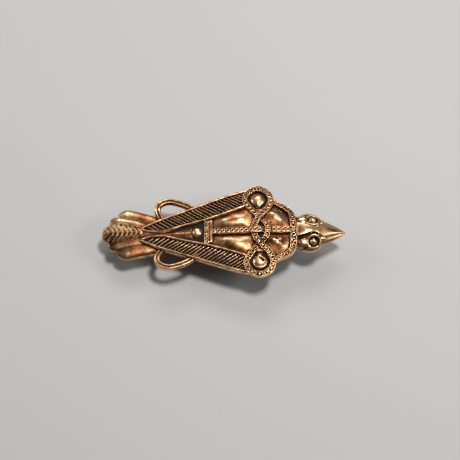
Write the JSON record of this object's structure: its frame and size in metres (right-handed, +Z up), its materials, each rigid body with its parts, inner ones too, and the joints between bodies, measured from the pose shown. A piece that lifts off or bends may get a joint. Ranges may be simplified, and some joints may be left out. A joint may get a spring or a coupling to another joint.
{
  "type": "bird brooch",
  "caption": "Cast bronze brooch of a diving bird seen from above, with barbed wings, a looped band, a ringed-eye head, a feather tail and a hinged pin across its back.",
  "frame": {"origin": "middle of the bounding box, at the bottom, on the surface the brooch lies on face up", "axes": "+X from the tail to the beak, +Y across the wings, +Z up through the back of the bird"},
  "size_m": [0.066, 0.0274, 0.0102],
  "materials": {
    "cast_bronze": "cast bronze, polished on its high places and dark with patina in its recesses",
    "wire_bronze": "drawn bronze wire, satin and lightly toned"
  },
  "bodies": {
    "brooch": {"brooch_casting": "cast_bronze", "hinge_rivet": "wire_bronze"},
    "pin": {"pin": "wire_bronze"}
  },
  "joints": [
    {"name": "pin_hinge", "type": "hinge", "parent": "brooch", "child": "pin", "pos_m": [0.0136, 0, 0.0017], "axis": [0, -1, 0], "range_deg": [0, 80]}
  ]
}
